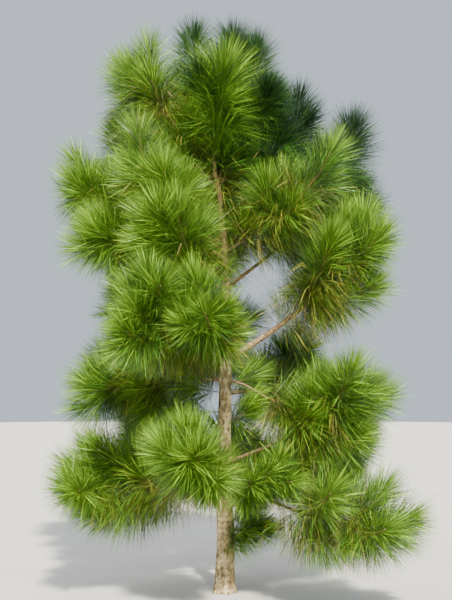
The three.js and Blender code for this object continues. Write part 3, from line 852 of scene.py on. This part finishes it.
# Materials
class Look:
    """A material's nodes: a shader with its plain values, and helpers that add a pattern to it."""

    def __init__(self, name, roughness, specular):
        self.material = bpy.data.materials.new(name)
        self.material.use_nodes = True
        self.nodes = self.material.node_tree.nodes
        self.links = self.material.node_tree.links
        self.shader = self.nodes["Principled BSDF"]
        self.shader.inputs["Roughness"].default_value = roughness
        self.shader.inputs["Specular IOR Level"].default_value = specular
        self.place = self.nodes.new("ShaderNodeTexCoord").outputs["Object"]

    def noise(self, scale, detail, stretch=None):
        node = self.nodes.new("ShaderNodeTexNoise")
        node.inputs["Scale"].default_value = scale
        node.inputs["Detail"].default_value = detail
        place = self.place
        if stretch:
            mapping = self.nodes.new("ShaderNodeMapping")
            mapping.inputs["Scale"].default_value = stretch
            self.links.new(place, mapping.inputs["Vector"])
            place = mapping.outputs["Vector"]
        self.links.new(place, node.inputs["Vector"])
        return node.outputs["Fac"]

    def value(self, name):
        node = self.nodes.new("ShaderNodeAttribute")
        node.attribute_name = name
        return node.outputs["Fac"]

    def ramp(self, factor, *stops):
        node = self.nodes.new("ShaderNodeValToRGB")
        elements = node.color_ramp.elements
        while len(elements) < len(stops):
            elements.new(0.5)
        for element, (place, colour) in zip(elements, stops):
            element.position = place
            element.color = (*colour, 1)
        self.links.new(factor, node.inputs["Fac"])
        return node.outputs["Color"]

    def blend(self, factor, a, b, way="MIX"):
        node = self.nodes.new("ShaderNodeMix")
        node.data_type = "RGBA"
        node.blend_type = way
        for index, value in zip(MIX_INPUTS, (factor, a, b)):
            if isinstance(value, bpy.types.NodeSocket):
                self.links.new(value, node.inputs[index])
            else:
                node.inputs[index].default_value = value
        return node.outputs[MIX_OUTPUT]

    def multiply(self, a, b):
        return self.blend(1.0, a, b, "MULTIPLY")

    def height(self, low, high):
        split = self.nodes.new("ShaderNodeSeparateXYZ")
        self.links.new(self.place, split.inputs[0])
        span = self.nodes.new("ShaderNodeMapRange")
        span.inputs["From Min"].default_value = low
        span.inputs["From Max"].default_value = high
        self.links.new(split.outputs["Z"], span.inputs["Value"])
        return span.outputs["Result"]

    def bump(self, factor, strength, distance):
        node = self.nodes.new("ShaderNodeBump")
        node.inputs["Strength"].default_value = strength
        node.inputs["Distance"].default_value = distance
        self.links.new(factor, node.inputs["Height"])
        self.links.new(node.outputs["Normal"], self.shader.inputs["Normal"])

    def finish(self, colour):
        self.links.new(colour, self.shader.inputs["Base Color"])
        return self.material


def needle_material(name):
    look = Look(f"needles_{name}", roughness=0.38, specular=0.4)
    colour = NEEDLE_LOOKS[name][0]
    darker, paler = (tuple(share * c for c in colour) for share in NEEDLE_PATCHES)
    mottled = look.ramp(look.noise(scale=7, detail=4), (0.3, darker), (0.7, paler))
    # Each needle's tone, with painted highlights, pale and whitish, on the palest needles
    toned = look.multiply(mottled, look.ramp(look.value("tone"), *NEEDLE_TONES_AND_HIGHLIGHTS))
    # Along the needle: the sheath's brown at the base and a painted highlight at the tip
    return look.finish(look.multiply(toned, look.ramp(look.value("along"), *NEEDLE_ALONG_AND_TIP_HIGHLIGHT)))


def bark_material():
    """Pale streaks and patches on the old bark, which turns into brown young bark higher up."""
    look = Look("trunk_bark", roughness=0.9, specular=0.2)
    streaks = look.ramp(look.noise(scale=40, detail=6, stretch=(1, 1, 0.42)), *STREAK_COLOURS)
    patches = look.ramp(look.noise(scale=9, detail=4), *TRUNK_PATCHES)
    fissures = look.ramp(look.value("relief"), *FISSURE_SHADE)
    old = look.multiply(look.multiply(streaks, patches), fissures)
    brown = look.ramp(look.noise(scale=45, detail=5, stretch=(1, 1, 0.5)), *YOUNG_COLOURS)
    young = look.multiply(brown, fissures)
    look.bump(look.noise(scale=260, detail=4, stretch=(1, 1, 0.4)), strength=0.5, distance=0.0012)
    return look.finish(look.blend(look.height(*YOUNG_BARK), old, young))


def bough_material():
    look = Look("bough_bark", roughness=0.85, specular=0.25)
    scales = look.ramp(look.value("relief"), (0.05, (0.2, 0.125, 0.065)), (1, (0.68, 0.49, 0.29)))
    patches = look.ramp(look.noise(scale=16, detail=4), (0.35, (0.7, 0.68, 0.66)), (0.7, (1.12, 1.05, 1)))
    look.bump(look.noise(scale=300, detail=4), strength=0.4, distance=0.0008)
    return look.finish(look.multiply(scales, patches))


def twig_material():
    look = Look("twig_bark", roughness=0.75, specular=0.3)
    scales = look.ramp(look.value("relief"), (0.1, (0.15, 0.08, 0.035)), (0.9, (0.36, 0.22, 0.1)))
    patches = look.ramp(look.noise(scale=9, detail=3), (0.35, (0.7, 0.72, 0.66)), (0.7, (1.1, 1.05, 0.95)))
    look.bump(look.noise(scale=400, detail=3), strength=0.3, distance=0.0006)
    return look.finish(look.multiply(scales, patches))


def bud_material():
    look = Look("bud_scales", roughness=0.6, specular=0.35)
    scales = look.ramp(look.value("relief"), (0, (0.42, 0.27, 0.15)), (1, (0.74, 0.64, 0.48)))
    patches = look.ramp(look.noise(scale=60, detail=3), (0.35, (0.8, 0.78, 0.75)), (0.7, (1.05, 1.05, 1)))
    return look.finish(look.multiply(scales, patches))


def dress(piece, material):
    piece.data.materials.append(material)


# Stage, light and camera
def build_stage():
    look = Look("floor", roughness=0.9, specular=0.1)
    tones = ((0.3, (0.54, 0.52, 0.48)), (0.7, (0.58, 0.56, 0.52)))
    look.finish(look.ramp(look.noise(scale=1.5, detail=2), *tones))
    bpy.ops.mesh.primitive_circle_add(vertices=FLOOR_SIDES, radius=FLOOR_RADIUS, fill_type="NGON")
    floor = bpy.context.object
    floor.name = "floor"
    floor.data.materials.append(look.material)


def add_sun(name, azimuth, elevation, strength, angle, colour):
    lamp = bpy.data.lights.new(name, "SUN")
    lamp.energy = strength
    lamp.angle = math.radians(angle)
    lamp.color = colour
    sun = bpy.data.objects.new(name, lamp)
    sun.rotation_euler = (math.radians(90 - elevation), 0, math.radians(azimuth + 90))
    bpy.context.scene.collection.objects.link(sun)


def light_scene():
    world = bpy.data.worlds.new("studio")
    world.use_nodes = True
    sky = world.node_tree.nodes["Background"]
    sky.inputs["Color"].default_value = (*SKY_COLOUR, 1)
    sky.inputs["Strength"].default_value = SKY_STRENGTH
    bpy.context.scene.world = world
    for name, values in SUNS.items():
        add_sun(name, *values)


def place_camera():
    lens = bpy.data.cameras.new("camera")
    lens.sensor_width = SENSOR
    lens.lens = FOCAL_PIXELS / max(PICTURE) * SENSOR
    camera = bpy.data.objects.new("camera", lens)
    camera.location = EYE
    camera.rotation_euler = (math.radians(90 + TILT), 0, 0)
    bpy.context.scene.collection.objects.link(camera)
    bpy.context.scene.camera = camera


def main():
    place_camera()
    light_scene()
    build_stage()
    boughs, shoots = grow_tree()
    foliage = [f"foliage_{bough['name']}" for bough in boughs]
    dress(build_trunk(boughs), bark_material())
    bark = bough_material()
    for bough in boughs:
        if bough["limbed"]:
            dress(build_bough(bough), bark)
    shoots += grow_fine_twigs(boughs, shoots)
    dress(build_twigs(shoots, foliage), twig_material())
    dress(build_buds(shoots, foliage), bud_material())
    build_needles([*shoots, trunk_top_shoot(boughs[-1])])


main()
